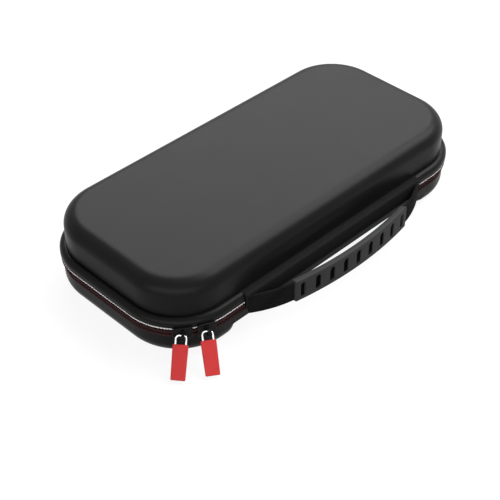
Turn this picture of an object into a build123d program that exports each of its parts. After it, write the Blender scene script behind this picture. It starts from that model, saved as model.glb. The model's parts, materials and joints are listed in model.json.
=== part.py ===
"""Zippered hard-shell case for a hand-held game console, closed and standing on its base.

X runs along the case, the handle is at the front (-Y), the cloth hinge at the back (+Y).
The origin is the middle of the base, on the surface that the case stands on.
"""
from build123d import *
import os
from math import asin, cos, radians, sin, sqrt, tan

# Case outline over the lid's flange, and heights above the floor
case_length = 265.0
case_width = 127.0
corner_radius = 38.7
case_height = 51.2
closing_height = 20.45
shell_thickness = 3.0

# Lid
lid_wall_inset = 4.0
lid_top_round = 9.1
flange_lift = 2.05
flange_height = 6.2
flange_shoulder = 3.6
flange_lip_round = 0.8
groove_width = 0.8
groove_depth = 0.8

# Lower shell
base_wall_inset = 1.6
base_round = 9.4
rim_drop = 4.25
rim_height = 6.7
rim_round = 0.6
recess_end_gap = 8.8
recess_depth = 9.0
recess_flank_angle = 50.0
recess_bend_ease = 1.0

# Zipper
row_gap = 0.9
row_height = 1.5
tooth_inset = 0.3
tooth_depth = 2.8
tooth_pitch = 1.9
tooth_gap = 0.6
tooth_gap_depth = 0.6
tape_thickness = 0.7
tape_reach = 6.0
chain_end_gap = 11.8

# Cloth hinge at the back
spine_thickness = 1.0
spine_end_gap = 0.5

# Sliders and pulls at the front left corner, by their angle round the corner's centre
slider_angle_left = 229.9
slider_angle_right = 250.3
pull_angle_left = 218.3
pull_angle_right = 236.4
slider_length = 11.5
slider_nose_width = 8.6
slider_tail_width = 6.6
slider_corner_round = 1.5
slider_plate = 1.2
slider_edge_round = 0.5
slider_clearance = 0.3
post_thickness = 0.5
post_length = 3.5
post_setback = 1.2
crown_width = 2.0
crown_span = 5.8
crown_bar = 0.9
crown_eye = 3.2
crown_round = 0.8
crown_edge_round = 0.3
pull_lean = 42.0
pull_side_slip = 0.8
wire_diameter = 1.0
wire_loop_width = 6.0
wire_loop_round = 2.0
wire_clearance = 0.05
wire_grip_depth = 3.0
tab_start = 5.1
tab_length = 20.2
tab_width = 9.0
tab_tip_width = 8.4
tab_thickness = 2.0
tab_round = 0.7

# Handle on the lid's flange
strip_end_gap = 15.8
strip_thickness = 1.5
strip_drop = 2.95
strip_round = 1.4
chain_clearance = 0.3
web_thickness = 1.8
web_height = 14.0
web_bottom = 13.5
web_end_setback = 1.2
grip_half_length = 50.0
grip_end_standoff = 10.0
grip_bow = 4.8
grip_thickness = 4.4
grip_overlap = 1.0
grip_round = 1.0
grip_clearance = 0.05
slot_count = 9
slot_pitch = 11.1
slot_width = 3.6
slot_height = 10.8

# Console cradle, hold-down straps and mesh pocket
cradle_clearance = 0.2
cradle_floor = 2.0
bay_end_wall = 8.7
bay_front_wall = 3.7
bay_back_wall = 4.7
bay_round = 22.0
strap_offset = 62.0
strap_width = 24.0
strap_end_gap = 2.9
strap_thickness = 1.2
mesh_clearance = 0.1
mesh_thickness = 1.0
mesh_lift = 0.6
mesh_mouth = 30.0
hem_width = 3.0
hem_height = 2.0
hem_round = 0.6

# Levels and insets that several pieces share
flange_bottom = closing_height + flange_lift
groove_height = flange_bottom + flange_height
rim_top = closing_height - rim_drop
rim_bottom = rim_top - rim_height
ledge_top = rim_bottom + shell_thickness
tape_inset = tooth_inset + tooth_depth
tape_back = tape_inset + tape_thickness
upper_tape_top = closing_height + tape_reach
lower_tape_bottom = closing_height - tape_reach
lid_inner_inset = lid_wall_inset + shell_thickness
base_inner_inset = base_wall_inset + shell_thickness
cradle_inset = base_inner_inset + cradle_clearance
front = -case_width / 2
back = case_width / 2
straight_end_x = case_length / 2 - corner_radius
recess_half_length = straight_end_x - recess_end_gap
recess_round = base_round + recess_bend_ease
chain_end_x = straight_end_x - chain_end_gap
strip_half_length = straight_end_x - strip_end_gap
slider_angles = {"left": slider_angle_left, "right": slider_angle_right}
pull_angles = {"left": pull_angle_left, "right": pull_angle_right}
overcut = 1.0
tolerance = 0.001


def outline(inset):
    """Case outline drawn in by the inset."""
    return RectangleRounded(case_length - 2 * inset, case_width - 2 * inset, corner_radius - inset)


def plate(inset, bottom, top):
    """Slab of the case outline between two heights."""
    return extrude(Pos(0, 0, bottom) * outline(inset), top - bottom)


def edges_at(solid, height):
    """Edges that lie flat at one height."""
    return solid.edges().filter_by_position(Axis.Z, height - tolerance, height + tolerance)


def open_at_hinge(ring):
    """Leaves the plan of a ring open at the back, between the ends of the zipper."""
    return ring - Rectangle(2 * chain_end_x, case_width, align=(Align.CENTER, Align.MIN))


def make_tape(bottom, top):
    """Woven tape that carries one row, sewn to the inner face of the rim."""
    ring = open_at_hinge(outline(tape_inset) - outline(tape_back))
    return extrude(Pos(0, 0, bottom) * ring, top - bottom)


def make_flange():
    """Flange round the lid, with a round shoulder under the groove and a softened lower lip."""
    flange = plate(0, flange_bottom, groove_height)
    flange = fillet(edges_at(flange, groove_height), flange_shoulder)
    return fillet(edges_at(flange, flange_bottom), flange_lip_round)


def make_upper_shell():
    """Lid: flat top with a round edge, upright wall, groove, and the flange that carries the zipper."""
    body = plate(lid_wall_inset, flange_bottom, case_height)
    body = fillet(edges_at(body, case_height), lid_top_round)
    groove_top = groove_height + groove_width
    groove_floor = plate(lid_wall_inset + groove_depth, groove_height, groove_top)
    groove = plate(0, groove_height, groove_top) - groove_floor
    ceiling = case_height - shell_thickness
    cavity = plate(lid_inner_inset, flange_bottom - overcut, ceiling)
    cavity = fillet(edges_at(cavity, ceiling), lid_top_round - shell_thickness)
    tape_seat = plate(tape_inset, flange_bottom - overcut, upper_tape_top)
    return body + make_flange() - groove - cavity - tape_seat


def recessed_outline():
    """Lower shell's outline, with the front drawn back for the hand between two soft bends."""
    wall_y = front + base_wall_inset
    flank = recess_depth / tan(radians(recess_flank_angle))
    back_y = wall_y + recess_depth
    inner_x = recess_half_length - flank
    mouth = (-recess_half_length, wall_y), (recess_half_length, wall_y)
    notch = make_face(Polyline(*mouth, (inner_x, back_y), (-inner_x, back_y), close=True))
    shape = outline(base_wall_inset) - notch
    near_front = shape.vertices().filter_by_position(Axis.Y, wall_y - tolerance, back_y + tolerance)
    bends = near_front.filter_by_position(
        Axis.X, -recess_half_length - tolerance, recess_half_length + tolerance)
    return fillet(bends, recess_round)


def make_lower_shell():
    """Lower shell: rounded base, upright rim band, and the ledge over the hand recess."""
    shape = recessed_outline()
    bowl = extrude(shape, rim_bottom)
    bowl = fillet(edges_at(bowl, 0), base_round)
    rim = plate(base_wall_inset, rim_bottom, rim_top)
    rim = fillet(edges_at(rim, rim_top), rim_round)
    inner_shape = offset(shape, -shell_thickness)
    cavity = extrude(Pos(0, 0, shell_thickness) * inner_shape, ledge_top - shell_thickness)
    cavity = fillet(edges_at(cavity, shell_thickness), base_round - shell_thickness)
    mouth = plate(base_inner_inset, ledge_top, rim_top + overcut)
    tape_seat = plate(tape_inset, lower_tape_bottom, rim_top + overcut)
    return bowl + rim - cavity - mouth - tape_seat


def tooth_row_plan():
    """Plan of one row of the chain: teeth at an even pitch, joined at their roots on the tape."""
    path = outline(tooth_inset).wire()
    count = round(path.length / tooth_pitch)
    tooth_share = 1 - tooth_gap / tooth_pitch
    corners = []
    for number in range(count):
        start, end = number / count, (number + tooth_share) / count
        tips = [path @ start, path @ end]
        inward = [(path % at).rotate(Axis.Z, 90) for at in (start, end)]
        roots = [tip + way * tooth_gap_depth for tip, way in zip(tips, inward)]
        corners += [roots[0], *tips, roots[1]]
    return open_at_hinge(make_face(Polyline(*corners, close=True)) - outline(tape_inset))


def make_tooth_row(plan, bottom):
    """One row of the chain, raised from its plan."""
    return extrude(Pos(0, 0, bottom) * plan, row_height)


def make_spine_strip():
    """Cloth hinge: on the flange's face, across the gap, and down on the rim's face."""
    flange_y = back
    rim_y = back - base_wall_inset
    shoulder = groove_height - flange_shoulder
    inner = [(flange_y, shoulder), (flange_y, flange_bottom), (rim_y, rim_top), (rim_y, rim_bottom)]
    outer = [(y + spine_thickness, z) for y, z in reversed(inner)]
    section = make_face(Polyline(*inner, *outer, close=True))
    half_length = chain_end_x - spine_end_gap
    return extrude(Plane.YZ * section, half_length, both=True)


def corner_place(angle):
    """Frame at the corner's centre and the zipper's height: Y points out at the plan angle."""
    centre = (corner_radius - case_length / 2, corner_radius - case_width / 2, closing_height)
    return Pos(*centre) * Rot(0, 0, angle - 90)


outer_plate_face = corner_radius + slider_clearance
crown_base = outer_plate_face + slider_plate
pull_radius = crown_base + crown_eye / 2
tape_back_radius = corner_radius - tape_back - slider_clearance
inner_plate_face = sqrt(tape_back_radius**2 - (slider_length / 2) ** 2)


def make_slider(angle, nose_side):
    """Zip slider: a plate on each side of the chain, a thin post between the rows, and the crown."""
    half = slider_length / 2 * nose_side
    nose, tail = slider_nose_width / 2, slider_tail_width / 2
    shape = make_face(Polyline((half, -nose), (half, nose), (-half, tail), (-half, -tail), close=True))
    shape = fillet(shape.vertices(), slider_corner_round)
    upright = Plane(origin=(0, 0, 0), x_dir=(1, 0, 0), z_dir=(0, 1, 0))
    outer = extrude(upright.offset(outer_plate_face) * shape, slider_plate)
    outer = fillet(outer.faces().sort_by(Axis.Y)[-1].edges(), slider_edge_round)
    inner = extrude(upright.offset(inner_plate_face - slider_plate) * shape, slider_plate)
    inner = fillet(inner.faces().sort_by(Axis.Y)[0].edges(), slider_edge_round)
    post_x = (slider_length - post_length) / 2 - post_setback
    post = Pos(post_x * nose_side, inner_plate_face, 0) * Box(
        post_length, outer_plate_face - inner_plate_face, post_thickness,
        align=(Align.CENTER, Align.MIN, Align.CENTER))
    crown_height = crown_eye + crown_bar
    arch = Rectangle(crown_height, crown_span, align=(Align.MIN, Align.CENTER))
    arch = fillet(arch.vertices().group_by(Axis.X)[-1], crown_round)
    arch -= Rectangle(crown_eye, crown_span - 2 * crown_bar, align=(Align.MIN, Align.CENTER))
    across = Plane(origin=(0, crown_base, 0), x_dir=(0, 1, 0), z_dir=(1, 0, 0))
    crown = extrude(across * arch, crown_width / 2, both=True)
    crown = fillet(crown.faces().sort_by(Axis.Y)[-1].edges(), crown_edge_round)
    return corner_place(angle) * (outer + inner + post + crown)


def pull_plane(side):
    """Plane of a leaning pull: X along the loop's top, Y up the pull, origin in the loop's middle.

    The loop has slipped sideways, so the crown holds it near its shoulder.
    """
    pivot = (corner_place(slider_angles[side]) * Pos(0, pull_radius, 0)).position
    heading, lean = radians(pull_angles[side]), radians(pull_lean)
    along_bar = (-sin(heading), cos(heading), 0)
    facing = (cos(heading) * cos(lean), sin(heading) * cos(lean), sin(lean))
    slip = Vector(*along_bar) * pull_side_slip
    return Plane(origin=pivot - slip, x_dir=along_bar, z_dir=facing)


def make_pull_wire(side):
    """Wire loop: a top with round shoulders in the crown's eye, two legs down into the tab."""
    reach = wire_loop_width / 2
    foot = -tab_start - wire_grip_depth
    path = FilletPolyline((-reach, foot), (-reach, 0), (reach, 0), (reach, foot), radius=wire_loop_round)
    start = Plane(origin=(-reach, foot, 0), z_dir=(0, 1, 0))
    wire = sweep(start * Circle(wire_diameter / 2), path=path)
    return pull_plane(side) * wire


def make_pull_tab(side):
    """Rubber tab that narrows to its tip, with a socket for each leg of the loop."""
    top, tip, end = tab_width / 2, tab_tip_width / 2, -tab_start - tab_length
    shape = make_face(Polyline((-top, -tab_start), (top, -tab_start), (tip, end), (-tip, end), close=True))
    tab = extrude(fillet(shape.vertices(), tab_round), tab_thickness / 2, both=True)
    for reach in (-wire_loop_width / 2, wire_loop_width / 2):
        mouth = Plane(origin=(reach, -tab_start, 0), z_dir=(0, -1, 0))
        tab -= extrude(mouth * Circle(wire_diameter / 2 + wire_clearance), wire_grip_depth + wire_clearance)
    return pull_plane(side) * tab


def make_base_strip():
    """Strip over the flange at the front: a round shelf on top and a skirt that hides the zipper."""
    skirt_y = front - chain_clearance
    face_y = front - strip_thickness
    bottom = closing_height - strip_drop
    wall_y = front + lid_wall_inset
    corners = [(face_y, bottom), (face_y, groove_height), (wall_y, groove_height), (wall_y, flange_bottom),
               (skirt_y, flange_bottom), (skirt_y, bottom)]
    section = make_face(Polyline(*corners, close=True))
    edge = section.vertices().sort_by(Axis.X)[:2].sort_by(Axis.Y)[-1]
    section = fillet(edge, strip_round)
    return extrude(Plane.YZ * section, strip_half_length, both=True) - make_flange()


web_face_y = front - strip_thickness
grip_end_y = web_face_y - grip_end_standoff
bow_radius = (grip_half_length**2 + grip_bow**2) / (2 * grip_bow)
bow_centre_y = grip_end_y - grip_bow + bow_radius


def bow_line():
    """Middle line of the grip, an arc bowed to the front."""
    ends = (-grip_half_length, grip_end_y), (grip_half_length, grip_end_y)
    return ThreePointArc(ends[0], (0, grip_end_y - grip_bow), ends[1])


def make_web():
    """Webbing: the bowed run and its two ends, which curve back to the base strip."""
    bow = bow_line()
    end_y = web_face_y + web_thickness / 2
    right = TangentArc(bow @ 1, (strip_half_length - web_end_setback, end_y), tangent=bow % 1)
    left = mirror(right, Plane.YZ)
    ribbon = trace(left + bow + right, web_thickness)
    web = extrude(Pos(0, 0, web_bottom) * ribbon, web_height)
    behind = Box(case_length, case_width, case_height, align=(Align.CENTER, Align.MIN, Align.MIN))
    return web - Pos(0, web_face_y, 0) * behind


def make_grip():
    """Rubber sleeve on the webbing, with upright slots that show the webbing at the front."""
    bow = bow_line()
    height = web_height + 2 * grip_overlap
    bottom = web_bottom - grip_overlap
    sleeve = extrude(Pos(0, 0, bottom) * trace(bow, grip_thickness), height)
    sleeve = fillet(sleeve.edges(), grip_round)
    channel = trace(bow, web_thickness + 2 * grip_clearance)
    channel_height = web_height + 2 * grip_clearance
    sleeve -= extrude(Pos(0, 0, web_bottom - grip_clearance) * channel, channel_height)
    for number in range(slot_count):
        angle = asin((number - (slot_count - 1) / 2) * slot_pitch / bow_radius)
        outward = (sin(angle), -cos(angle), 0)
        origin = (outward[0] * bow_radius, bow_centre_y + outward[1] * bow_radius, bottom + height / 2)
        slot = Plane(origin=origin, x_dir=(0, 0, 1), z_dir=outward) * SlotOverall(slot_height, slot_width)
        sleeve -= extrude(slot, grip_thickness)
    return sleeve


def make_cradle():
    """Moulded bed that fills the lower shell up to its ledge, with a bay for the console."""
    bottom = shell_thickness + cradle_clearance
    shape = offset(recessed_outline(), -bottom)
    bed = extrude(Pos(0, 0, bottom) * shape, ledge_top - bottom)
    bed = fillet(edges_at(bed, bottom), base_round - bottom)
    bay_length = case_length - 2 * (cradle_inset + bay_end_wall)
    bay_front = front + cradle_inset + recess_depth + bay_front_wall
    bay_back = back - cradle_inset - bay_back_wall
    bay = RectangleRounded(bay_length, bay_back - bay_front, bay_round)
    return bed - extrude(Pos(0, (bay_front + bay_back) / 2, bottom + cradle_floor) * bay, ledge_top)


def make_console_strap(centre_x):
    """Elastic strap that lies across the bay on the top of the cradle."""
    length = case_width - 2 * (base_inner_inset + strap_end_gap)
    return Pos(centre_x, 0, ledge_top) * Box(
        strap_width, length, strap_thickness, align=(Align.CENTER, Align.CENTER, Align.MIN))


mesh_bottom = upper_tape_top + mesh_lift


def make_mesh_pocket():
    """Mesh panel across the lid, open towards the front."""
    top = mesh_bottom + mesh_thickness
    panel = plate(lid_inner_inset + mesh_clearance, mesh_bottom, top)
    mouth = Box(case_length, case_width, case_height, align=(Align.CENTER, Align.MAX, Align.MIN))
    return panel - Pos(0, -mesh_mouth, 0) * mouth


def make_pocket_hem():
    """Elastic hem along the mouth of the mesh pocket."""
    middle = mesh_bottom + mesh_thickness / 2
    section = Pos(-mesh_mouth - hem_width / 2, middle) * RectangleRounded(hem_width, hem_height, hem_round)
    bar = extrude(Plane.YZ * section, case_length / 2, both=True)
    return bar & plate(lid_inner_inset + mesh_clearance, flange_bottom, case_height)


row_plan = tooth_row_plan()
nodes = {
    "upper_shell": make_upper_shell(),
    "lower_shell": make_lower_shell(),
    "zipper_tape_upper": make_tape(closing_height + row_gap / 2, upper_tape_top),
    "zipper_tape_lower": make_tape(lower_tape_bottom, closing_height - row_gap / 2),
    "zipper_teeth_upper": make_tooth_row(row_plan, closing_height + row_gap / 2),
    "zipper_teeth_lower": make_tooth_row(row_plan, closing_height - row_gap / 2 - row_height),
    "spine_strip": make_spine_strip(),
    "handle_base_strip": make_base_strip(),
    "handle_web": make_web(),
    "handle_grip": make_grip(),
    "console_cradle": make_cradle(),
    "mesh_pocket": make_mesh_pocket(),
    "mesh_pocket_hem": make_pocket_hem(),
}
for side, sign in (("left", -1), ("right", 1)):
    nodes[f"console_strap_{side}"] = make_console_strap(sign * strap_offset)
    nodes[f"slider_{side}"] = make_slider(slider_angles[side], sign)
    nodes[f"pull_wire_{side}"] = make_pull_wire(side)
    nodes[f"pull_tab_{side}"] = make_pull_tab(side)

os.makedirs("parts", exist_ok=True)
for name, shape in nodes.items():
    export_step(shape, f"parts/{name}.step")
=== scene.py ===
"""Looks of the zippered hard-shell console case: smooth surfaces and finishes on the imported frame."""
import json
import math

import bmesh
import bpy
import numpy as np
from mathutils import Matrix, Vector


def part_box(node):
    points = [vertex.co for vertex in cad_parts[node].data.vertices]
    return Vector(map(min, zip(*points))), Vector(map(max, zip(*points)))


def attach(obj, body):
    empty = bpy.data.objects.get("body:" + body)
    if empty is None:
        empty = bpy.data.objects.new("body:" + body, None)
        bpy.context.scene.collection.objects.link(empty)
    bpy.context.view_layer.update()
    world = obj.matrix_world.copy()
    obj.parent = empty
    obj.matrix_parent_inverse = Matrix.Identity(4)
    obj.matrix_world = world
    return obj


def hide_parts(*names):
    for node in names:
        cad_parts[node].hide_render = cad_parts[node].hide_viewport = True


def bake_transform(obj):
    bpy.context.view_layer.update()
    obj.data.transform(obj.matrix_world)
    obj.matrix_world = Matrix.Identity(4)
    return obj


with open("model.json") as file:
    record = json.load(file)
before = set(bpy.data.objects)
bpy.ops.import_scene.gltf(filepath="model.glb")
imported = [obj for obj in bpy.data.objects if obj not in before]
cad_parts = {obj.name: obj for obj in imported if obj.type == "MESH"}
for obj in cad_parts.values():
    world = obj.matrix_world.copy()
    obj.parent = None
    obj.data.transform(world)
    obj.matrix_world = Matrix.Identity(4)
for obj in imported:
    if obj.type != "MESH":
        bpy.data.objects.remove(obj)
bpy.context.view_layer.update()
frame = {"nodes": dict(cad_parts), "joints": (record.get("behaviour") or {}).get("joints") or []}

mm = 0.001

# Sizes read from the frame
lid_low, lid_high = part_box("upper_shell")
base_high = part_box("lower_shell")[1]
white_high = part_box("zipper_teeth_upper")[1]
red_low, red_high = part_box("zipper_teeth_lower")
upper_tape_low, upper_tape_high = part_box("zipper_tape_upper")
lower_tape_low, lower_tape_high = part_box("zipper_tape_lower")
cradle_low, cradle_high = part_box("console_cradle")
strip_low, strip_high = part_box("handle_base_strip")
spine_low, spine_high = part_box("spine_strip")
web_low, web_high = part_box("handle_web")
grip_low, grip_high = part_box("handle_grip")
mesh_low, mesh_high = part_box("mesh_pocket")
hem_low, hem_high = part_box("mesh_pocket_hem")
half_length, half_width = lid_high.x, lid_high.y
base_inset = half_length - base_high.x
tooth_inset = half_length - white_high.x
tape_inset = half_length - upper_tape_high.x
cradle_inset = half_length - cradle_high.x
mesh_inset = half_length - mesh_high.x
chain_end = spine_high.x + 0.5 * mm

# Sizes that the boxes do not show
corner_radius = 38.7 * mm
wall = 3 * mm
lid_wall_inset = 4 * mm
lid_top_round = 9.1 * mm
groove_low = 28.7 * mm
groove_width = 0.8 * mm
groove_depth = 0.8 * mm
groove_lip_round = 0.35 * mm
groove_round = 0.3 * mm
flange_shoulder = 3.6 * mm
flange_lip_round = 0.8 * mm
base_round = 9.4 * mm
rim_bottom = 9.5 * mm
rim_round = 0.6 * mm
ledge_round = 0.5 * mm
sewn_tape = 1.2 * mm
recess_half = 85 * mm
recess_depth = 9 * mm
recess_round = 10.4 * mm
recess_flank = math.radians(50)
recess_bend_inner = 16 * mm
recess_bend_outer = 6 * mm
tape_thickness = 0.7 * mm
tape_round = 0.2 * mm
tape_edge_round = 0.3 * mm
seat_round = 0.1 * mm
tooth_pitch = 1.9 * mm
bead_half_length = 0.98 * mm
bead_slant = 0.55
bead_band_margin = 0.1 * mm
red_depth = 1.7 * mm
white_depth = 0.86 * mm
white_showing_low = 0.9 * mm
white_showing_high = 0.2 * mm
grip_half = 50 * mm
grip_bow = 4.8 * mm
grip_thickness = 4.4 * mm
grip_round = 1 * mm
slot_pitch = 11.1 * mm
slot_count = 9
slot_width = 3.6 * mm
slot_height = 10.8 * mm
slot_edge_start = 0.12 * mm
slot_edge_width = 0.4 * mm
web_thickness = 1.8 * mm
web_round = 0.6 * mm
web_end_setback = 1.2 * mm
web_tail = 28.5 * mm
strip_round = 1.4 * mm
strip_edge_round = 0.4 * mm
strip_seat_round = 0.2 * mm
chain_clearance = 0.3 * mm
spine_round = 0.25 * mm
tab_start = 5.1 * mm
tab_length = 20.2 * mm
tab_width = 9 * mm
tab_tip_width = 8.4 * mm
tab_thickness = 2 * mm
tab_corner = 0.7 * mm
tab_edge_round = 0.45 * mm
pull_lean = math.radians(42)
pull_side_slip = 0.8 * mm
bay_half_length = 119 * mm
bay_front, bay_back = -46 * mm, 54 * mm
bay_floor = 5.2 * mm
bay_radius = 22 * mm
bay_floor_round = 3 * mm
bay_floor_reach = 8 * mm
bay_top_round = 1.5 * mm
bay_lip_reach = 1.6 * mm
cradle_edge_round = 0.6 * mm
cradle_clearance = 0.2 * mm
strap_corner = 1.5 * mm
strap_edge_round = 0.45 * mm
net_pitch = 2 * mm
net_wave = 3.8 * mm
yarn_radius = 0.5 * mm
net_mouth_setback = 1 * mm
hem_round = 0.6 * mm

# Light, in metres and watts
floor_reach = 6.0
floor_colour = 0.1
floor_glow = 0.9
sky_low, sky_high = 0.13, 0.27
sky_rise_start, sky_rise_end = 0.1, 0.7
lamps = {
    "back_softbox": {"place": (0.8, 0.8, 1.2), "width": 1.25, "height": 1.25, "power": 28.5},
    "side_softbox": {"place": (0.9, -0.3, 1.25), "width": 1.1, "height": 1.1, "power": 33},
    "front_gleam": {"place": (-1.25, -0.9, 0.4), "width": 2.6, "height": 0.9, "power": 23},
}

# Camera at the photograph's place
camera_azimuth = math.radians(-44.981)
camera_elevation = math.radians(40.2)
camera_lens = 88.2136
camera_place = Vector((-442.44, -431.92, 499.6)) * mm


# Mesh building

def lattice(points):
    """Quads between neighbouring rows and columns of grids of points (..., rows, columns, 3)."""
    rows, columns = points.shape[-3:-1]
    corner = np.arange(rows * columns).reshape(rows, columns)
    quads = np.stack([corner[:-1, :-1], corner[:-1, 1:], corner[1:, 1:], corner[1:, :-1]], axis=-1)
    copies = np.arange(points.size // (3 * rows * columns)) * rows * columns
    return points.reshape(-1, 3), (quads.reshape(1, -1, 4) + copies[:, None, None]).reshape(-1, 4)


def make_piece(name, patches, finishes, sharp_angle=38):
    """Joins grids of points to one mesh, welds what meets, turns the faces outwards and smooths them.

    Each patch is its points, the coordinates of its pattern in metres or None, and its finish's number,
    one for the patch or one for each face.
    """
    vertices, faces, coordinates, numbers, count = [], [], [], [], 0
    for points, pattern, number in patches:
        spots, quads = lattice(points)
        vertices.append(spots)
        faces.append(quads + count)
        flat = points[..., :2] if pattern is None else pattern
        coordinates.append(np.broadcast_to(flat, points.shape[:-1] + (2,)).reshape(-1, 2))
        numbers.append(np.broadcast_to(np.ravel(number), len(quads)))
        count += len(spots)
    mesh = bpy.data.meshes.new(name)
    mesh.from_pydata(np.concatenate(vertices).tolist(), [], np.concatenate(faces).tolist())
    corners = np.zeros(len(mesh.loops), np.int32)
    mesh.loops.foreach_get("vertex_index", corners)
    pattern_map = mesh.uv_layers.new(name="pattern")
    pattern_map.data.foreach_set("uv", np.concatenate(coordinates)[corners].astype(np.float32).ravel())
    mesh.polygons.foreach_set("material_index", np.concatenate(numbers).astype(np.int32))
    weld = bmesh.new()
    weld.from_mesh(mesh)
    bmesh.ops.remove_doubles(weld, verts=weld.verts, dist=2e-6)
    bmesh.ops.recalc_face_normals(weld, faces=weld.faces)
    weld.to_mesh(mesh)
    weld.free()
    mesh.shade_smooth()
    mesh.set_sharp_from_angle(angle=math.radians(sharp_angle))
    for finish in finishes:
        mesh.materials.append(finish)
    piece = bpy.data.objects.new(name, mesh)
    bpy.context.scene.collection.objects.link(piece)
    return piece


def dress(piece, body, slot, *nodes):
    """The piece moves with its body and stands for its nodes. The slot is not used."""
    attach(piece, body)
    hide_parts(*nodes)
    return piece


def soft_line(points, radii, steps=6, closed=False):
    """Line through flat points whose corners are rounded by tangent arcs, each of its own radius."""
    points = np.asarray(points, float)
    before, at, after = np.roll(points, 1, 0), points, np.roll(points, -1, 0)
    if not closed:
        before, at, after = points[:-2], points[1:-1], points[2:]
    radii = np.broadcast_to(np.asarray(radii, float), len(at))[:, None]
    back = (before - at) / np.linalg.norm(before - at, axis=1, keepdims=True)
    ahead = (after - at) / np.linalg.norm(after - at, axis=1, keepdims=True)
    half = np.arccos(np.clip((back * ahead).sum(1, keepdims=True), -1, 1)) / 2
    middle = (back + ahead) / np.linalg.norm(back + ahead, axis=1, keepdims=True)
    centre = at + middle * radii / np.sin(half)
    start, end = at + back * radii / np.tan(half) - centre, at + ahead * radii / np.tan(half) - centre
    turn = (math.pi - 2 * half)[:, None]
    share = np.linspace(0, 1, steps)[None, :, None]
    arcs = start[:, None] * np.sin((1 - share) * turn) + end[:, None] * np.sin(share * turn)
    arcs = (centre[:, None] + arcs / np.sin(turn)).reshape(-1, 2)
    return np.vstack([arcs, arcs[:1]]) if closed else np.vstack([points[:1], arcs, points[-1:]])


def length_along(points):
    """Distance from the first point, along a line of points."""
    return np.concatenate([[0], np.cumsum(np.linalg.norm(np.diff(points, axis=0), axis=1))])


def rounded_outline(half_x, half_y, radius, run=None, gap=0.0, corner_steps=22, side_steps=9):
    """Stations round a rounded rectangle: points of its inner core, and the direction out of each.

    They go anticlockwise from the middle of the back, which stays open by the gap each side. A point of
    the outline drawn in by an inset is its core point plus (radius - inset) times its direction.
    """
    end_x, end_y = half_x - radius, half_y - radius
    run = np.linspace(0, 1, 17) if run is None else run
    back = gap + (end_x - gap) * run
    front = end_x * np.concatenate([-run[:0:-1], run])
    turn = np.linspace(0, math.pi / 2, corner_steps + 2)[1:-1]
    side = np.linspace(-end_y, end_y, side_steps)
    stretches = [
        (-back, end_y, 0.5 * math.pi), (-end_x, end_y, 0.5 * math.pi + turn),
        (-end_x, side[::-1], math.pi), (-end_x, -end_y, math.pi + turn),
        (front, -end_y, 1.5 * math.pi), (end_x, -end_y, 1.5 * math.pi + turn),
        (end_x, side, 2 * math.pi), (end_x, end_y, 2 * math.pi + turn),
        (back[::-1], end_y, 2.5 * math.pi),
    ]
    x, y, angle = (np.concatenate(parts) for parts in zip(*[np.broadcast_arrays(*s) for s in stretches]))
    return np.stack([x, y], -1), np.stack([np.cos(angle), np.sin(angle)], -1)


def carry(stations, radius, profile):
    """Carries a profile of (inset, height) round an outline: one row of points for each profile point."""
    core, way = stations
    inset, height = np.asarray(profile, float).T
    flat = core + (radius - inset)[:, None, None] * way
    return np.concatenate([flat, np.broadcast_to(height[:, None, None], flat.shape[:2] + (1,))], -1)


def shrink(edge, spread=0.0, steps=5):
    """Rings that close an edge: each point runs straight to the middle line, up to the spread each way."""
    middle = edge.copy()
    middle[:, 0] = np.clip(edge[:, 0], -spread, spread)
    middle[:, 1] = 0
    share = np.linspace(0, 1, steps)[:, None, None]
    return edge + (middle - edge) * share


def slab(half_x, half_y, radius, thickness, edge_round, **counts):
    """Flat slab with a rounded plan and rounded edges, centred on the origin."""
    top = thickness / 2
    deep = min(radius, 3 * edge_round)
    profile = soft_line([(deep, top), (0, top), (0, -top), (deep, -top)], edge_round)
    side = carry(rounded_outline(half_x, half_y, radius, **counts), radius, profile)
    spread = max(half_x - half_y, 0)
    return np.concatenate([shrink(side[0], spread, 4)[:0:-1], side, shrink(side[-1], spread, 4)[1:]])


def cap_ends(grid):
    """Closes a tube of section rows with a fan at the middle of its first and of its last row."""
    ends = [np.broadcast_to(row[:-1].mean(0), row.shape)[None] for row in (grid[0], grid[-1])]
    return np.concatenate([ends[0], grid, ends[1]])


def straight_bar(section, stations):
    """Carries a closed section of (y, z) along stations of x, with closed ends."""
    flat = np.broadcast_to(section, (len(stations),) + section.shape)
    along = np.broadcast_to(np.asarray(stations)[:, None, None], flat.shape[:2] + (1,))
    return cap_ends(np.concatenate([along, flat], -1))


def bar_pattern(along, section):
    """Pattern coordinates of a capped bar: the length along it, and the length round its section."""
    pattern = np.stack(np.broadcast_arrays(along[:, None], length_along(section)[None]), -1)
    return np.concatenate([pattern[:1], pattern, pattern[-1:]])


# Shader groups that several finishes share

def node_group(name, inputs, outputs):
    """Empty shader group with named sockets. Returns the group, its input node and its output node."""
    group = bpy.data.node_groups.new(name, "ShaderNodeTree")
    for socket, kind, value in inputs:
        made = group.interface.new_socket(socket, in_out="INPUT", socket_type=kind)
        if value is not None:
            made.default_value = value
    for socket, kind in outputs:
        group.interface.new_socket(socket, in_out="OUTPUT", socket_type=kind)
    return group, group.nodes.new("NodeGroupInput"), group.nodes.new("NodeGroupOutput")


def math_node(tree, operation, first, second=None, third=None):
    """Math node on sockets or numbers. Returns its result."""
    node = tree.nodes.new("ShaderNodeMath")
    node.operation = operation
    for socket, value in zip(node.inputs, (first, second, third)):
        if isinstance(value, (int, float)):
            socket.default_value = value
        elif value is not None:
            tree.links.new(value, socket)
    return node.outputs[0]


def noise_node(tree, vector, scale, detail):
    """Noise on a vector, with its scale from a socket."""
    node = tree.nodes.new("ShaderNodeTexNoise")
    tree.links.new(vector, node.inputs["Vector"])
    tree.links.new(scale, node.inputs["Scale"])
    node.inputs["Detail"].default_value = detail
    node.inputs["Roughness"].default_value = 0.5
    return node.outputs["Fac"]


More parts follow.
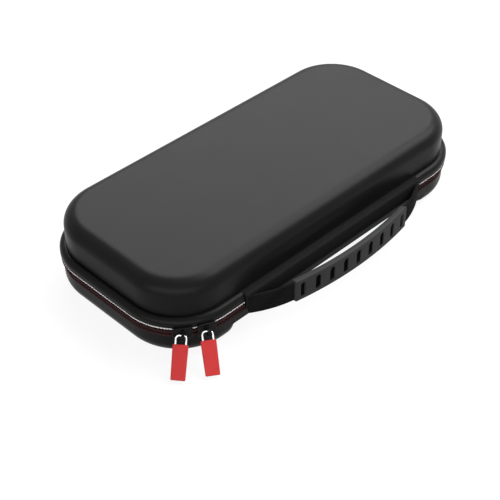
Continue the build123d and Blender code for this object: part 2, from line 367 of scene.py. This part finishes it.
def make_grain_group():
    """Pebbled grain: cells of one scale for the height, and slow cloudy noise for the tone."""
    group, given, result = node_group(
        "pebbled_grain",
        [("Vector", "NodeSocketVector", None), ("Cells", "NodeSocketFloat", 2500.0),
         ("Clouds", "NodeSocketFloat", 40.0)],
        [("Height", "NodeSocketFloat"), ("Tone", "NodeSocketFloat")])
    cells = group.nodes.new("ShaderNodeTexVoronoi")
    cells.feature = "SMOOTH_F1"
    group.links.new(given.outputs["Vector"], cells.inputs["Vector"])
    group.links.new(given.outputs["Cells"], cells.inputs["Scale"])
    fine = noise_node(group, given.outputs["Vector"], given.outputs["Cells"], 3.0)
    domes = math_node(group, "SUBTRACT", 1.0, cells.outputs["Distance"])
    group.links.new(math_node(group, "MULTIPLY_ADD", fine, 0.5, domes), result.inputs["Height"])
    tone = noise_node(group, given.outputs["Vector"], given.outputs["Clouds"], 4.0)
    group.links.new(tone, result.inputs["Tone"])
    return group


def make_weave_group():
    """Plain weave on flat coordinates: two families of threads that pass over each other in turn."""
    group, given, result = node_group(
        "thread_weave",
        [("Vector", "NodeSocketVector", None), ("Across", "NodeSocketFloat", 1500.0),
         ("Along", "NodeSocketFloat", 1500.0)],
        [("Height", "NodeSocketFloat"), ("Shade", "NodeSocketFloat")])
    split = group.nodes.new("ShaderNodeSeparateXYZ")
    group.links.new(given.outputs["Vector"], split.inputs[0])
    across = math_node(group, "MULTIPLY", split.outputs["X"], given.outputs["Across"])
    along = math_node(group, "MULTIPLY", split.outputs["Y"], given.outputs["Along"])
    turns = [math_node(group, "MULTIPLY", line, math.pi) for line in (across, along)]
    ridges = [math_node(group, "ABSOLUTE", math_node(group, "SINE", turn)) for turn in turns]
    cells = math_node(group, "ADD", math_node(group, "FLOOR", across), math_node(group, "FLOOR", along))
    over = math_node(group, "FLOORED_MODULO", cells, 2.0)
    low = math_node(group, "MULTIPLY", ridges[0], math_node(group, "SUBTRACT", 1.0, over))
    height = math_node(group, "MULTIPLY_ADD", ridges[1], over, low)
    group.links.new(height, result.inputs["Height"])
    # Painted shade: the colour darkens where the threads go down.
    group.links.new(math_node(group, "MULTIPLY_ADD", height, 0.6, 0.4), result.inputs["Shade"])
    return group


grain_group = make_grain_group()
weave_group = make_weave_group()


# Finishes

def blank_finish(name, roughness, specular):
    """Material with a Principled shader whose plain values are set on its own sockets."""
    finish = bpy.data.materials.new(name)
    finish.use_nodes = True
    shader = finish.node_tree.nodes["Principled BSDF"]
    shader.inputs["Roughness"].default_value = roughness
    shader.inputs["Specular IOR Level"].default_value = specular
    return finish, finish.node_tree, shader


def group_node(tree, group, vector, **values):
    """Places a shared group in a material, with its own values."""
    node = tree.nodes.new("ShaderNodeGroup")
    node.node_tree = group
    tree.links.new(vector, node.inputs["Vector"])
    for socket, value in values.items():
        node.inputs[socket].default_value = value
    return node


def coordinates(tree, kind):
    """Object coordinates, or the piece's own pattern coordinates."""
    if kind == "Object":
        return tree.nodes.new("ShaderNodeTexCoord").outputs["Object"]
    pattern = tree.nodes.new("ShaderNodeUVMap")
    pattern.uv_map = "pattern"
    return pattern.outputs["UV"]


def blend_colours(tree, factor, dark, light):
    """Colour between two colours by a factor from 0 to 1."""
    node = tree.nodes.new("ShaderNodeMix")
    node.data_type = "RGBA"
    tree.links.new(factor, node.inputs["Factor"])
    node.inputs["A"].default_value = (*dark, 1)
    node.inputs["B"].default_value = (*light, 1)
    return node.outputs["Result"]


def add_relief(tree, shader, height, depth):
    """Bump of the given depth in metres."""
    bump = tree.nodes.new("ShaderNodeBump")
    bump.inputs["Distance"].default_value = depth
    bump.inputs["Strength"].default_value = 1.0
    tree.links.new(height, bump.inputs["Height"])
    tree.links.new(bump.outputs["Normal"], shader.inputs["Normal"])


def grained_finish(name, dark, light, *, roughness, specular, cells, depth, clouds=40.0, metallic=0.0):
    """Moulded or coated surface: pebbled grain in the relief, cloudy tone in the colour and roughness."""
    finish, tree, shader = blank_finish(name, roughness, specular)
    shader.inputs["Metallic"].default_value = metallic
    grain = group_node(tree, grain_group, coordinates(tree, "Object"), Cells=cells, Clouds=clouds)
    tree.links.new(blend_colours(tree, grain.outputs["Tone"], dark, light), shader.inputs["Base Color"])
    spread = 0.08
    rough = math_node(tree, "MULTIPLY_ADD", grain.outputs["Tone"], spread, roughness - spread / 2)
    tree.links.new(rough, shader.inputs["Roughness"])
    add_relief(tree, shader, grain.outputs["Height"], depth)
    return finish


def woven_finish(name, dark, light, *, roughness, across, along, depth):
    """Woven cloth: thread relief, and painted shade: darker colour down between the threads."""
    finish, tree, shader = blank_finish(name, roughness, 0.01)
    weave = group_node(tree, weave_group, coordinates(tree, "Pattern"), Across=across, Along=along)
    tree.links.new(blend_colours(tree, weave.outputs["Shade"], dark, light), shader.inputs["Base Color"])
    add_relief(tree, shader, weave.outputs["Height"], depth)
    return finish


skin = grained_finish(
    "moulded_skin", (0.005, 0.005, 0.0051), (0.0075, 0.0075, 0.0076),
    roughness=0.35, specular=0.07, cells=2600.0, depth=0.01 * mm)
lining = grained_finish(
    "lid_lining", (0.012, 0.012, 0.013), (0.03, 0.03, 0.032),
    roughness=0.95, specular=0.03, cells=1800.0, depth=0.12 * mm, clouds=500.0)
fleece = grained_finish(
    "cradle_fleece", (0.014, 0.014, 0.015), (0.036, 0.036, 0.038),
    roughness=0.95, specular=0.03, cells=1500.0, depth=0.2 * mm, clouds=600.0)
white_coil = grained_finish(
    "white_coil", (0.9, 0.87, 0.87), (0.97, 0.95, 0.95),
    roughness=0.5, specular=0.2, cells=3000.0, depth=0.02 * mm, clouds=300.0)
red_coil = grained_finish(
    "red_coil", (0.022, 0.01, 0.0105), (0.052, 0.021, 0.0225),
    roughness=0.55, specular=0.05, cells=3000.0, depth=0.02 * mm, clouds=300.0)
tape_cloth = woven_finish(
    "tape_cloth", (0.01, 0.0065, 0.0065), (0.058, 0.028, 0.027),
    roughness=0.85, across=1300.0, along=1300.0, depth=0.2 * mm)
binding_cloth = woven_finish(
    "binding_cloth", (0.007, 0.007, 0.0072), (0.018, 0.018, 0.0182),
    roughness=0.75, across=1600.0, along=1600.0, depth=0.12 * mm)
web_cloth = woven_finish(
    "web_cloth", (0.001, 0.001, 0.0011), (0.013, 0.013, 0.0133),
    roughness=0.75, across=1180.0, along=60.0, depth=0.3 * mm)
# Painted shade: a darker copy of the web cloth for the insides of the grip's slots.
slot_cloth_painted_shade = woven_finish(
    "slot_cloth_painted_shade", (0.0008, 0.0008, 0.0009), (0.004, 0.004, 0.0041),
    roughness=0.75, across=1180.0, along=60.0, depth=0.3 * mm)
elastic_cloth = woven_finish(
    "elastic_cloth", (0.008, 0.008, 0.009), (0.028, 0.028, 0.029),
    roughness=0.85, across=450.0, along=1600.0, depth=0.3 * mm)
net_yarn = grained_finish(
    "net_yarn", (0.014, 0.014, 0.015), (0.03, 0.03, 0.031),
    roughness=0.8, specular=0.05, cells=4000.0, depth=0.03 * mm, clouds=400.0)
grip_rubber = grained_finish(
    "grip_rubber", (0.03, 0.03, 0.0303), (0.038, 0.038, 0.0383),
    roughness=0.5, specular=0.05, cells=3200.0, depth=0.03 * mm)
black_enamel = grained_finish(
    "black_enamel", (0.003, 0.003, 0.0031), (0.006, 0.006, 0.0061),
    roughness=0.3, specular=0.08, cells=2500.0, depth=0.01 * mm, clouds=300.0)
bright_wire = grained_finish(
    "bright_wire", (0.86, 0.86, 0.87), (0.95, 0.95, 0.95),
    roughness=0.25, specular=0.5, cells=4000.0, depth=0.005 * mm, clouds=700.0, metallic=1.0)
red_rubber = grained_finish(
    "red_rubber", (0.47, 0.031, 0.032), (0.54, 0.041, 0.041),
    roughness=0.5, specular=0.1, cells=2600.0, depth=0.02 * mm, clouds=220.0)


# Lid and lower shell

def make_lid():
    """Lid: one closed profile carried round the case, closed flat over the top and under the ceiling."""
    ceiling = lid_high.z - wall
    inner = lid_wall_inset + wall
    flat = lid_wall_inset + lid_top_round
    groove_top, groove_back = groove_low + groove_width, lid_wall_inset + groove_depth
    seat_top = upper_tape_high.z
    outside = soft_line(
        [(flat + mm, lid_high.z), (lid_wall_inset, lid_high.z), (lid_wall_inset, groove_top),
         (groove_back, groove_top), (groove_back, groove_low), (0, groove_low), (0, lid_low.z),
         (tape_inset, lid_low.z)],
        [lid_top_round, groove_lip_round, groove_round, groove_round, flange_shoulder, flange_lip_round], 14)
    inside = soft_line(
        [(tape_inset, lid_low.z), (tape_inset, seat_top), (inner, seat_top), (inner, ceiling),
         (flat + mm, ceiling)],
        [seat_round, tape_edge_round, lid_top_round - wall], 8)
    stations = rounded_outline(half_length, half_width, corner_radius)
    spread = half_length - half_width
    shell = carry(stations, corner_radius, outside)
    hollow = carry(stations, corner_radius, inside)
    shell = np.concatenate([shrink(shell[0], spread)[:0:-1], shell])
    hollow = np.concatenate([hollow, shrink(hollow[-1], spread)[1:]])
    piece = make_piece("lid_shell", [(shell, None, 0), (hollow, None, 1)], [skin, lining])
    dress(piece, "lid", "shell", "upper_shell")


def recess(x):
    """Depth of the hand recess at x and its wall's angle: two tangent arcs joined by a straight flank."""
    run = recess_half - np.abs(x)
    tangent = recess_round * math.tan(recess_flank / 2)
    inner_end = recess_depth / math.tan(recess_flank) + tangent
    arc_run = recess_round * math.sin(recess_flank)
    entry = np.clip(run + tangent, 0, arc_run)
    exit_run = np.clip(inner_end - run, 0, arc_run)
    flank = np.clip(run + tangent - arc_run, 0, inner_end + tangent - 2 * arc_run)
    sagitta = recess_round - np.sqrt(recess_round**2 - entry**2)
    rise = np.sqrt(recess_round**2 - exit_run**2) - recess_round * math.cos(recess_flank)
    depth = sagitta + flank * math.tan(recess_flank) + np.where(run > inner_end - arc_run, rise, 0)
    return depth, np.arcsin(np.minimum(entry, exit_run) / recess_round)


def base_stations():
    """Stations with close steps at the recess bends, the same line drawn back into the recess, and how far
    the recess is open at each, from 0 to 1.
    """
    end_x = half_length - corner_radius
    bends = np.linspace(recess_half - recess_bend_inner, recess_half + recess_bend_outer, 34) / end_x
    run = np.concatenate([np.linspace(0, bends[0], 10)[:-1], bends, [(1 + bends[-1]) / 2, 1]])
    core, way = rounded_outline(half_length, half_width, corner_radius, run=run)
    at_front = np.isclose(way[:, 1], -1)
    depth, angle = recess(core[:, 0])
    depth, angle = np.where(at_front, depth, 0), np.where(at_front, angle, 0)
    recess_core = core + np.stack([np.zeros_like(depth), depth], -1)
    turned = np.stack([-np.sign(core[:, 0]) * np.sin(angle), -np.cos(angle)], -1)
    recess_way = np.where(at_front[:, None], turned, way)
    radius = corner_radius - base_inset
    drawn_core = recess_core + radius * (way - recess_way)
    return (core, way), (drawn_core, recess_way), np.clip(depth / mm, 0, 1)


def make_base():
    """Lower shell: bowl on the recessed outline, rim band on the full outline, and the ledge between them.

    The zipper's tape is sewn over the rim's upper edge.
    """
    full, drawn, opened = base_stations()
    spread = half_length - half_width
    radius = corner_radius
    turn = np.linspace(0, math.pi / 2, 14)
    bowl = np.stack([base_inset + base_round * (1 - np.sin(turn)), base_round * (1 - np.cos(turn))], -1)
    bowl = carry(drawn, radius, np.vstack([bowl, [(base_inset, rim_bottom)]]))
    soft = ledge_round * opened
    lip_turn = np.linspace(0, math.pi / 2, 6)[:, None]
    lip_in = base_inset + soft * (1 - np.sin(lip_turn))
    lip_up = rim_bottom + soft * (1 - np.cos(lip_turn))
    lip = np.concatenate([full[0] + (radius - lip_in)[..., None] * full[1], lip_up[..., None]], -1)
    inner = base_inset + wall
    sewn_low = base_high.z - sewn_tape
    rim = carry(full, radius, [(base_inset, rim_bottom + mm), (base_inset, sewn_low)])
    sewn = soft_line([(base_inset, sewn_low), (base_inset, base_high.z), (tape_inset, base_high.z),
                      (tape_inset, lower_tape_low.z)], [rim_round, tape_edge_round], 6)
    along = length_along(full[0] + radius * full[1])
    sewn_pattern = np.stack(np.broadcast_arrays(along[None], length_along(sewn)[:, None]), -1)
    sewn = carry(full, radius, sewn)
    ledge_top = rim_bottom + wall
    seat_low = lower_tape_low.z
    seat = soft_line([(tape_inset, seat_low), (inner, seat_low), (inner, ledge_top)], seat_round)
    seat = carry(full, radius, seat)
    floor_round = base_round - wall
    floor_edge = inner + floor_round + mm
    hollow = soft_line([(inner, ledge_top), (inner, wall), (floor_edge, wall)], floor_round, 10)
    hollow = carry(drawn, radius, hollow)
    outside = np.concatenate([shrink(bowl[0], spread)[:0:-1], bowl, lip, rim])
    inside = np.concatenate([seat, hollow, shrink(hollow[-1], spread)[1:]])
    patches = [(outside, None, 0), (sewn, sewn_pattern, 1), (inside, None, 0)]
    piece = make_piece("base_shell", patches, [skin, tape_cloth])
    dress(piece, "base", "shell", "lower_shell")


# Zipper

def chain_stations(step):
    """Stations along the zipper, open over the hinge, and the length along it."""
    run = np.linspace(0, 1, max(2, round((half_length - corner_radius) / step)))
    stations = rounded_outline(half_length, half_width, corner_radius, run, chain_end,
                               round(corner_radius * math.pi / 2 / step), round(50 * mm / step))
    return stations, length_along(stations[0] + corner_radius * stations[1])


def make_tape(name, low, high, body, node):
    """Woven tape: a thin upright band carried along the zipper."""
    stations, along = chain_stations(3 * mm)
    inner = tape_inset + tape_thickness
    section = soft_line([(tape_inset, low), (tape_inset, high), (inner, high), (inner, low)],
                        tape_round, 3, closed=True)
    grid = carry(stations, corner_radius, section).transpose(1, 0, 2)
    piece = make_piece(name, [(cap_ends(grid), bar_pattern(along, section), 0)], [tape_cloth])
    dress(piece, body, "zip_tape", node)


def make_coil(name, low, high, depth, slant, finish, body, slot, node):
    """Row of teeth: slanted round beads side by side along the zipper, on a band behind them."""
    stations, along = chain_stations(2 * mm)
    front = tooth_inset + depth / 2
    band_low, band_high = low + bead_band_margin, high - bead_band_margin
    band = soft_line([(front, band_low), (front, band_high), (tape_inset, band_high), (tape_inset, band_low)],
                     bead_band_margin, 3, closed=True)
    band = cap_ends(carry(stations, corner_radius, band).transpose(1, 0, 2))
    count = round(along[-1] / tooth_pitch)
    places = (np.arange(count) + 0.5) * along[-1] / count
    core = np.stack([np.interp(places, along, stations[0][:, k]) for k in (0, 1)], -1)
    way = np.stack([np.interp(places, along, stations[1][:, k]) for k in (0, 1)], -1)
    tall, deep = (high - low) / 2, depth / 2
    centre = core + (corner_radius - tooth_inset - deep) * way
    round_it, over = np.meshgrid(np.linspace(0, 2 * math.pi, 11), np.linspace(0, math.pi, 7))
    girth = np.sin(over)**0.8
    lift = tall * girth * np.sin(round_it)
    out = deep * girth * np.cos(round_it)
    ahead = bead_half_length * np.cos(over) + slant * lift
    tangent = np.stack([-way[:, 1], way[:, 0]], -1)
    flat = (centre[:, None, None] + out[None, ..., None] * way[:, None, None]
            + ahead[None, ..., None] * tangent[:, None, None])
    height = np.broadcast_to((low + high) / 2 + lift, flat.shape[:-1])[..., None]
    beads = np.concatenate([flat, height], -1)
    piece = make_piece(name, [(band, None, 0), (beads, None, 0)], [finish], 60)
    dress(piece, body, slot, node)


def make_tab(side):
    """Rubber tab: a rounded slab that narrows to its tip, hung below the pull's pivot and leaning out."""
    joint = next(j for j in frame["joints"] if j["name"] == f"pull_{side}_swing")
    bar = -Vector(joint["axis"])
    out = Vector((bar.y, -bar.x, 0))
    facing = out * math.cos(pull_lean) + Vector((0, 0, math.sin(pull_lean)))
    up = facing.cross(bar)
    half = tab_length / 2
    grid = slab(tab_width / 2, half, tab_corner, tab_thickness, tab_edge_round,
                run=np.linspace(0, 1, 5), corner_steps=6, side_steps=9)
    grid[..., 0] *= np.interp(grid[..., 1], (-half, half), (tab_tip_width / tab_width, 1))
    grid[..., 1] -= tab_start + half
    middle = Vector(joint["pos_m"]) - bar * pull_side_slip
    grid = grid @ np.array([bar, up, facing]) + np.array(middle)
    piece = make_piece(f"pull_tab_{side}_rubber", [(grid, None, 0)], [red_rubber])
    dress(piece, f"pull_{side}_body", "red_rubber", f"pull_tab_{side}")


# Handle

bow_radius = (grip_half**2 + grip_bow**2) / (2 * grip_bow)
bow_middle_y = grip_low.y + grip_thickness / 2
bow_centre_y = bow_middle_y + bow_radius
bow_turn = math.asin(grip_half / bow_radius)


def handle_line(along):
    """Middle line of the handle at lengths from its middle: the grip's arc, then a tangent arc to the case.

    Returns the flat points and the direction out of the handle's face.
    """
    end = np.array([grip_half, bow_middle_y + grip_bow])
    face_y = strip_low.y + web_thickness / 2
    reach = np.array([strip_high.x - web_end_setback, face_y]) - end
    inward = np.array([-math.sin(bow_turn), math.cos(bow_turn)])
    end_radius = reach @ reach / (2 * reach @ inward)
    end_centre = end + inward * end_radius
    far = np.abs(along)
    past = np.clip(far - bow_radius * bow_turn, 0, None)
    angle = np.minimum(far / bow_radius, bow_turn) + past / end_radius
    radius = np.where(past > 0, end_radius, bow_radius)
    centre_x = np.where(past > 0, end_centre[0], 0)
    centre_y = np.where(past > 0, end_centre[1], bow_centre_y)
    side = np.where(along < 0, -1.0, 1.0)
    points = np.stack([side * (centre_x + radius * np.sin(angle)), centre_y - radius * np.cos(angle)], -1)
    return points, np.stack([side * np.sin(angle), -np.cos(angle)], -1)


def flat_section(top, out, edge_round, rows, arc_steps):
    """Closed section of (out, up): an upright flat band with rounded edges, rows of points on each face."""
    heights = np.linspace(-top + edge_round, top - edge_round, rows)
    corner = soft_line([(0, top), (out, top), (out, 0)], edge_round, arc_steps)[1:-1][::-1]
    side = np.vstack([np.stack([np.full(rows, out), heights], -1), corner])
    return np.vstack([side, -side, side[:1]])


def make_web():
    """Webbing: a flat section with rounded edges carried along the handle's line."""
    half = bow_radius * bow_turn + web_tail
    along = np.linspace(-half, half, 121)
    points, way = handle_line(along)
    top, out = (web_high.z - web_low.z) / 2, web_thickness / 2
    section = flat_section(top, out, web_round, 8, 5)
    flat = points[:, None] + section[None, :, :1] * way[:, None]
    height = np.broadcast_to((web_low.z + web_high.z) / 2 + section[:, 1], flat.shape[:2])[..., None]
    grid = cap_ends(np.concatenate([flat, height], -1))
    u, v = np.broadcast_arrays(along[:, None], length_along(section)[None])
    pattern = np.stack([u + v, u - v], -1) * math.sqrt(0.5)
    pattern = np.concatenate([pattern[:1], pattern, pattern[-1:]])
    piece = make_piece("handle_webbing", [(grid, pattern, 0)], [web_cloth])
    dress(piece, "lid", "webbing", "handle_web")


def make_grip():
    """Rubber sleeve: a rounded section carried along the bow, pressed in to the webbing at upright slots. The
    slots' faces take a darker cloth as painted shade.
    """
    half = bow_radius * bow_turn
    ends = grip_round * (1 - np.cos(np.linspace(0, math.pi / 2, 7)))
    between = np.linspace(-half + grip_round, half - grip_round, 285)[1:-1]
    along = np.concatenate([-half + ends, between, (half - ends)[::-1]])
    points, way = handle_line(along)
    top, out = (grip_high.z - grip_low.z) / 2, grip_thickness / 2
    section = flat_section(top, out, grip_round, 47, 7)
    on_face = np.isclose(section[:, 0], out)
    gone = np.clip(half - np.abs(along), 0, grip_round)
    drawn = grip_round - np.sqrt(grip_round**2 - (grip_round - gone)**2)
    outward = section[None, :, 0] * (1 - drawn / out)[:, None]
    upward = section[None, :, 1] * (1 - drawn / top)[:, None]
    slots = bow_radius * np.arcsin((np.arange(slot_count) - (slot_count - 1) / 2) * slot_pitch / bow_radius)
    nearest = np.abs(along[:, None] - slots[None]).min(1)
    beyond = np.clip(np.abs(upward) - (slot_height - slot_width) / 2, 0, None)
    edge = np.hypot(nearest[:, None], beyond) - slot_width / 2
    press = on_face * np.clip((slot_edge_start - edge) / slot_edge_width, 0, 1)
    outward = outward - (out - web_thickness / 2) * press**2 * (3 - 2 * press)
    flat = points[:, None] + outward[..., None] * way[:, None]
    grid = np.concatenate([flat, ((grip_low.z + grip_high.z) / 2 + upward)[..., None]], -1)
    pressed = cap_ends(np.broadcast_to(press[..., None], grid.shape))[..., 0]
    across = np.minimum(pressed[:-1], pressed[1:])
    # Faces inside the slots take the darker cloth: the webbing seen through, with painted shade.
    slot_shade_faces = np.minimum(across[:, :-1], across[:, 1:]) > 0.1
    piece = make_piece("grip_sleeve", [(cap_ends(grid), None, slot_shade_faces)], [grip_rubber, slot_cloth_painted_shade])
    dress(piece, "lid", "grip_rubber", "handle_grip")


def make_strip():
    """Strip on the flange: a shelf over the shoulder and a skirt in front of the zipper."""
    wall_y = -half_width + flange_shoulder
    skirt_y = -half_width - chain_clearance
    shelf_low = lid_low.z + mm
    section = soft_line(
        [(strip_low.y, strip_low.z), (strip_low.y, strip_high.z), (wall_y, strip_high.z), (wall_y, shelf_low),
         (skirt_y, shelf_low), (skirt_y, strip_low.z)],
        [strip_edge_round, strip_round] + 3 * [strip_seat_round] + [strip_edge_round], 7, closed=True)
    stations = np.linspace(strip_low.x, strip_high.x, 61)
    patch = (straight_bar(section, stations), bar_pattern(stations, section), 0)
    dress(make_piece("handle_strip", [patch], [binding_cloth]), "lid", "binding", "handle_base_strip")


# Hinge cloth and inside

def make_spine():
    """Cloth hinge: a thin band over the rim, the gap and the flange."""
    rim_y = half_width - base_inset
    line = np.array([(rim_y, spine_low.z), (rim_y, base_high.z),
                     (half_width, lid_low.z), (half_width, spine_high.z)])
    outer = line + (spine_high.y - half_width, 0)
    section = soft_line(np.vstack([line, outer[::-1]]), spine_round, 5, closed=True)
    fine = np.linspace(0, 1, 161)
    lengths = length_along(section)
    section = np.stack([np.interp(fine * lengths[-1], lengths, section[:, k]) for k in (0, 1)], -1)
    section[-1] = section[0]
    stations = np.linspace(spine_low.x, spine_high.x, 82)
    pattern = np.stack(np.broadcast_arrays(stations[:, None], (fine * lengths[-1])[None]), -1)
    pattern = np.concatenate([pattern[:1], pattern, pattern[-1:]])
    piece = make_piece("hinge_cloth", [(straight_bar(section, stations), pattern, 0)], [binding_cloth], 60)
    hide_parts("spine_strip")
    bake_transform(piece)


def make_cradle():
    """Console bed: bay floor, bay wall, flat top and outer wall, ring by ring from the middle outwards."""
    top = cradle_high.z
    full, drawn, _ = base_stations()
    end_x = half_length - corner_radius
    run = full[0][np.isclose(full[1][:, 1], -1), 0]
    run = run[run >= 0] / end_x
    half_y = (bay_back - bay_front) / 2
    bay = rounded_outline(bay_half_length, half_y, bay_radius, run=run)
    profile = soft_line([(bay_floor_reach, bay_floor), (0, bay_floor), (0, top), (-bay_lip_reach, top)],
                        [bay_floor_round, bay_top_round], 8)
    bay = carry(bay, bay_radius, profile)
    floor = shrink(bay[0], bay_half_length - half_y)[:0:-1]
    bay = np.concatenate([floor, bay]) + (0, (bay_front + bay_back) / 2, 0)
    low_round = base_round - wall - cradle_clearance
    low_edge = cradle_inset + low_round + mm
    outside = soft_line([(cradle_inset + mm, top), (cradle_inset, top),
                         (cradle_inset, cradle_low.z), (low_edge, cradle_low.z)],
                        [cradle_edge_round, low_round], 8)
    outside = carry(drawn, corner_radius, outside)
    grid = np.concatenate([bay, outside, shrink(outside[-1], half_length - half_width)[1:]])
    piece = make_piece("cradle_bed", [(grid, None, 0)], [fleece])
    dress(piece, "base", "fleece", "console_cradle")


def make_strap(side):
    """Elastic strap: a thin slab with soft edges across the bay."""
    low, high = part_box(f"console_strap_{side}")
    size, middle = (high - low) / 2, (high + low) / 2
    grid = slab(size.x, size.y, strap_corner, 2 * size.z, strap_edge_round,
                run=np.linspace(0, 1, 7), corner_steps=5, side_steps=41)
    piece = make_piece(f"hold_down_strap_{side}", [(grid + np.array(middle), None, 0)], [elastic_cloth])
    dress(piece, "base", "elastic", f"console_strap_{side}")


def make_net():
    """Mesh pocket: wavy yarns side by side, each touching its neighbours in turn, as knitted net does."""
    radius, reach = corner_radius - mesh_inset, half_length - mesh_inset
    count = int(2 * (reach - 2 * net_pitch) / net_pitch) // 2
    middles = np.arange(-count, count + 1) * net_pitch
    over = np.clip(np.abs(middles) + net_pitch / 2 - (half_length - corner_radius), 0, radius)
    back = half_width - corner_radius + np.sqrt(radius**2 - over**2) - yarn_radius
    front = mesh_low.y + net_mouth_setback
    share = np.linspace(0, 1, 161)
    y = front + (back - front)[:, None] * share
    turn = (-1.0)**np.arange(len(middles))[:, None]
    swing = net_pitch / 2 - 0.8 * yarn_radius
    x = middles[:, None] + turn * swing * np.cos(2 * math.pi * (y - front) / net_wave)
    angle = np.linspace(0, 2 * math.pi, 5)
    z = (mesh_low.z + mesh_high.z) / 2
    points = np.stack([x[..., None] + yarn_radius * np.cos(angle),
                       np.broadcast_to(y[..., None], x.shape + (5,)),
                       np.broadcast_to(z + yarn_radius * np.sin(angle), x.shape + (5,))], -1)
    ends = points[:, [0, -1], :-1].mean(2)[:, :, None]
    ends = np.broadcast_to(ends, ends.shape[:2] + (5, 3))
    points = np.concatenate([ends[:, :1], points, ends[:, 1:]], 1)
    piece = make_piece("pocket_net", [(points, None, 0)], [net_yarn], 80)
    hem = make_hem()
    dress(piece, "lid", "mesh", "mesh_pocket")


def make_hem():
    """Elastic hem along the pocket's mouth."""
    section = soft_line([(hem_low.y, hem_low.z), (hem_high.y, hem_low.z),
                         (hem_high.y, hem_high.z), (hem_low.y, hem_high.z)], hem_round, 5, closed=True)
    stations = np.linspace(hem_low.x, hem_high.x, 120)
    patch = (straight_bar(section, stations), bar_pattern(stations, section), 0)
    return dress(make_piece("pocket_hem", [patch], [elastic_cloth]), "lid", "elastic", "mesh_pocket_hem")


make_lid()
make_base()
make_tape("upper_tape", upper_tape_low.z, upper_tape_high.z, "lid", "zipper_tape_upper")
make_tape("lower_tape", lower_tape_low.z, lower_tape_high.z, "base", "zipper_tape_lower")
make_coil("white_row", white_high.z - white_showing_low, white_high.z - white_showing_high, white_depth,
          bead_slant, white_coil, "lid", "white_teeth", "zipper_teeth_upper")
make_coil("red_row", red_low.z, red_high.z, red_depth, -bead_slant, red_coil, "base", "red_teeth",
          "zipper_teeth_lower")
make_web()
make_grip()
make_strip()
make_spine()
make_cradle()
make_net()
for side in ("left", "right"):
    make_tab(side)
    make_strap(side)
    for node, finish in ((f"slider_{side}", black_enamel), (f"pull_wire_{side}", bright_wire)):
        kept = frame["nodes"][node].data
        kept.materials.clear()
        kept.materials.append(finish)


# Floor, light and camera

def light_path_colour(tree, seen, lit):
    """Colour that the camera, mirrors and glass show, with another for the light that bounces on."""
    path = tree.nodes.new("ShaderNodeLightPath")
    shown = math_node(tree, "MAXIMUM", path.outputs["Is Camera Ray"], path.outputs["Is Glossy Ray"])
    shown = math_node(tree, "MAXIMUM", shown, path.outputs["Is Transmission Ray"])
    return blend_colours(tree, shown, lit, seen)


def make_floor():
    """Wide floor that glows white for the camera and the shine, and stays dark for other light."""
    mesh = bpy.data.meshes.new("floor")
    corners = [(x * floor_reach, y * floor_reach, 0) for x, y in ((-1, -1), (1, -1), (1, 1), (-1, 1))]
    mesh.from_pydata(corners, [], [(0, 1, 2, 3)])
    finish, tree, shader = blank_finish("floor_paint", 0.9, 0.0)
    shader.inputs["Base Color"].default_value = (floor_colour, floor_colour, floor_colour, 1)
    shader.inputs["Emission Strength"].default_value = 1.0
    tree.links.new(light_path_colour(tree, (floor_glow,) * 3, (0.0,) * 3), shader.inputs["Emission Color"])
    mesh.materials.append(finish)
    floor = bpy.data.objects.new("floor", mesh)
    bpy.context.scene.collection.objects.link(floor)


def add_lamp(name, place, width, height, power):
    """Soft lamp panel aimed at the middle of the case."""
    lamp = bpy.data.lights.new(name, "AREA")
    lamp.shape = "RECTANGLE"
    lamp.size, lamp.size_y = width, height
    lamp.energy = power
    holder = bpy.data.objects.new(name, lamp)
    holder.location = place
    aim = Vector((0, 0, lid_low.z)) - Vector(place)
    holder.rotation_euler = aim.to_track_quat("-Z", "Y").to_euler()
    bpy.context.scene.collection.objects.link(holder)


def make_world():
    """White surround for the camera and the shine, and a low light that grows from the sides to overhead."""
    world = bpy.data.worlds.new("studio")
    bpy.context.scene.world = world
    world.use_nodes = True
    tree = world.node_tree
    split = tree.nodes.new("ShaderNodeSeparateXYZ")
    tree.links.new(tree.nodes.new("ShaderNodeTexCoord").outputs["Generated"], split.inputs[0])
    rise = tree.nodes.new("ShaderNodeMapRange")
    rise.interpolation_type = "SMOOTHSTEP"
    tree.links.new(split.outputs["Z"], rise.inputs["Value"])
    rise.inputs["From Min"].default_value = sky_rise_start
    rise.inputs["From Max"].default_value = sky_rise_end
    light = blend_colours(tree, rise.outputs["Result"], (sky_low,) * 3, (sky_high,) * 3)
    seen = light_path_colour(tree, (1.0,) * 3, (0.0,) * 3)
    tree.links.new(light, seen.node.inputs["A"])
    tree.links.new(seen, tree.nodes["Background"].inputs["Color"])


def make_camera():
    """Camera turned left of the front by its azimuth and raised by its elevation."""
    camera = bpy.data.cameras.new("camera")
    camera.lens = camera_lens
    camera.sensor_width = 36
    camera.clip_start, camera.clip_end = 0.01, 50
    level = math.cos(camera_elevation)
    back = Vector((math.sin(camera_azimuth) * level, -math.cos(camera_azimuth) * level,
                   math.sin(camera_elevation)))
    holder = bpy.data.objects.new("camera", camera)
    holder.location = camera_place
    holder.rotation_euler = (-back).to_track_quat("-Z", "Y").to_euler()
    bpy.context.scene.collection.objects.link(holder)
    bpy.context.scene.camera = holder


make_floor()
make_world()
for lamp_name, values in lamps.items():
    add_lamp(lamp_name, **values)
make_camera()
bpy.context.scene.view_settings.view_transform = "Standard"
